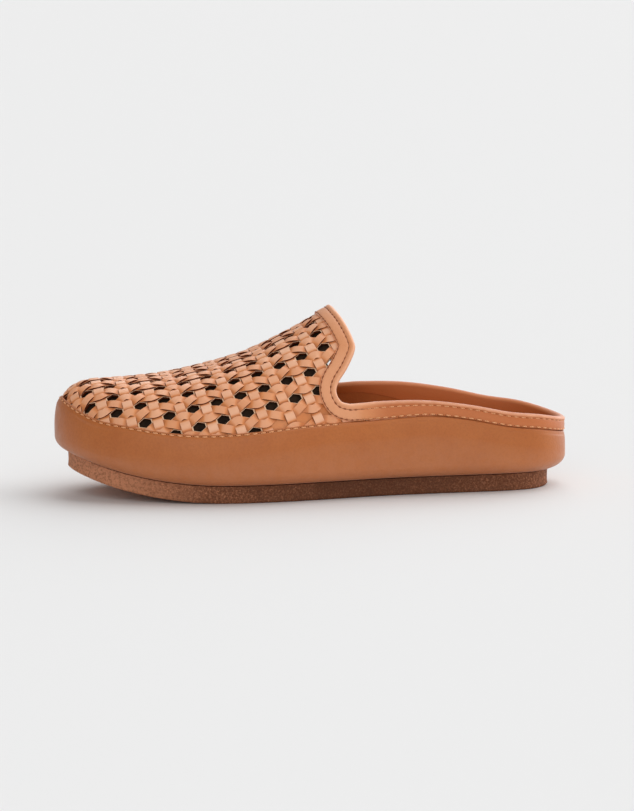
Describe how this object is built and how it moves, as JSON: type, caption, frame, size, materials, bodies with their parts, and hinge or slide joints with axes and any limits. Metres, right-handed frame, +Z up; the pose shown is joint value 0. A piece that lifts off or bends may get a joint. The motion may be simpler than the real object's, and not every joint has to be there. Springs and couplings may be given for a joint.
{
  "type": "woven leather slip-on clog",
  "caption": "Backless slip-on clog: woven leather vamp with a bound collar on a leather-wrapped platform over a crepe outsole.",
  "frame": {"origin": "on the floor, midway between toe and heel and between the two sides of the platform", "axes": "-X towards the toe, +X towards the heel, -Y towards the outer side of the foot, +Z up"},
  "size_m": [0.27, 0.1038, 0.0966],
  "materials": {
    "brown_crepe": "dull brown crepe rubber with fine speckle",
    "wrap_leather": "smooth tan leather, satin, fine grain",
    "footbed_leather": "smooth matt tan lining leather",
    "woven_leather": "smooth tan leather strips, woven, satin",
    "binding_leather": "tan leather binding, folded and stitched"
  },
  "bodies": {
    "root": {"outsole": "brown_crepe", "midsole": "wrap_leather", "insole": "footbed_leather", "upper": "woven_leather", "collar_binding": "binding_leather"}
  },
  "joints": []
}
